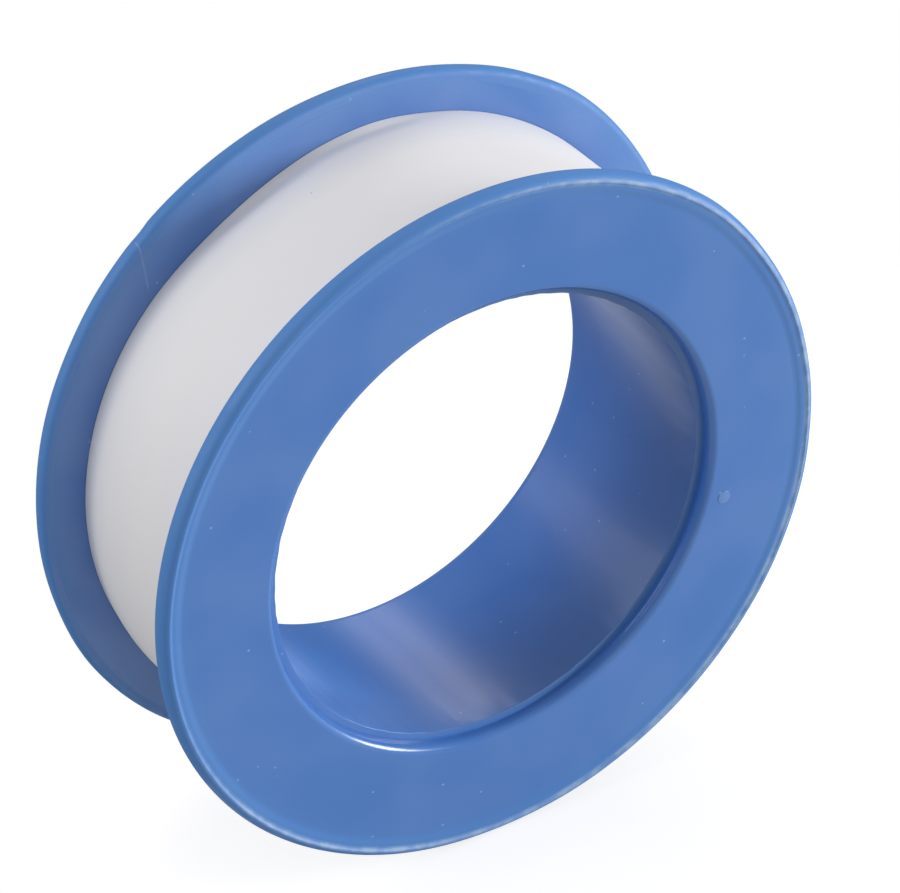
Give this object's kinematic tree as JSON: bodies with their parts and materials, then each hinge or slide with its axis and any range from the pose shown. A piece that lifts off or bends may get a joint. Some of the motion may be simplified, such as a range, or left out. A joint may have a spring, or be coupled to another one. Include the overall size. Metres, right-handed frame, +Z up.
{
  "type": "thread seal tape roll",
  "caption": "Roll of white thread seal tape on a blue moulded spool with two flat flanges, raised rims and a wide round bore.",
  "frame": {"origin": "middle of the spool, on the axis of its bore", "axes": "+Y along the spool's axis from the front flange to the rear flange, +Z up as the roll stands on its rims"},
  "size_m": [0.045, 0.0154, 0.045],
  "materials": {
    "spool_plastic": "satin moulded polypropylene",
    "seal_tape": "soft white unsintered tape"
  },
  "bodies": {
    "roll": {"hub_and_rear_flange": "spool_plastic", "front_flange": "spool_plastic", "tape_winding": "seal_tape", "tape_outer_turn": "seal_tape"},
    "free_end": {"tape_free_end": "seal_tape"}
  },
  "joints": [
    {"name": "free_end_lift", "type": "hinge", "parent": "roll", "child": "free_end", "pos_m": [0.0153, 0, 0.0128], "axis": [0, -1, 0], "range_deg": [0, 100]}
  ]
}
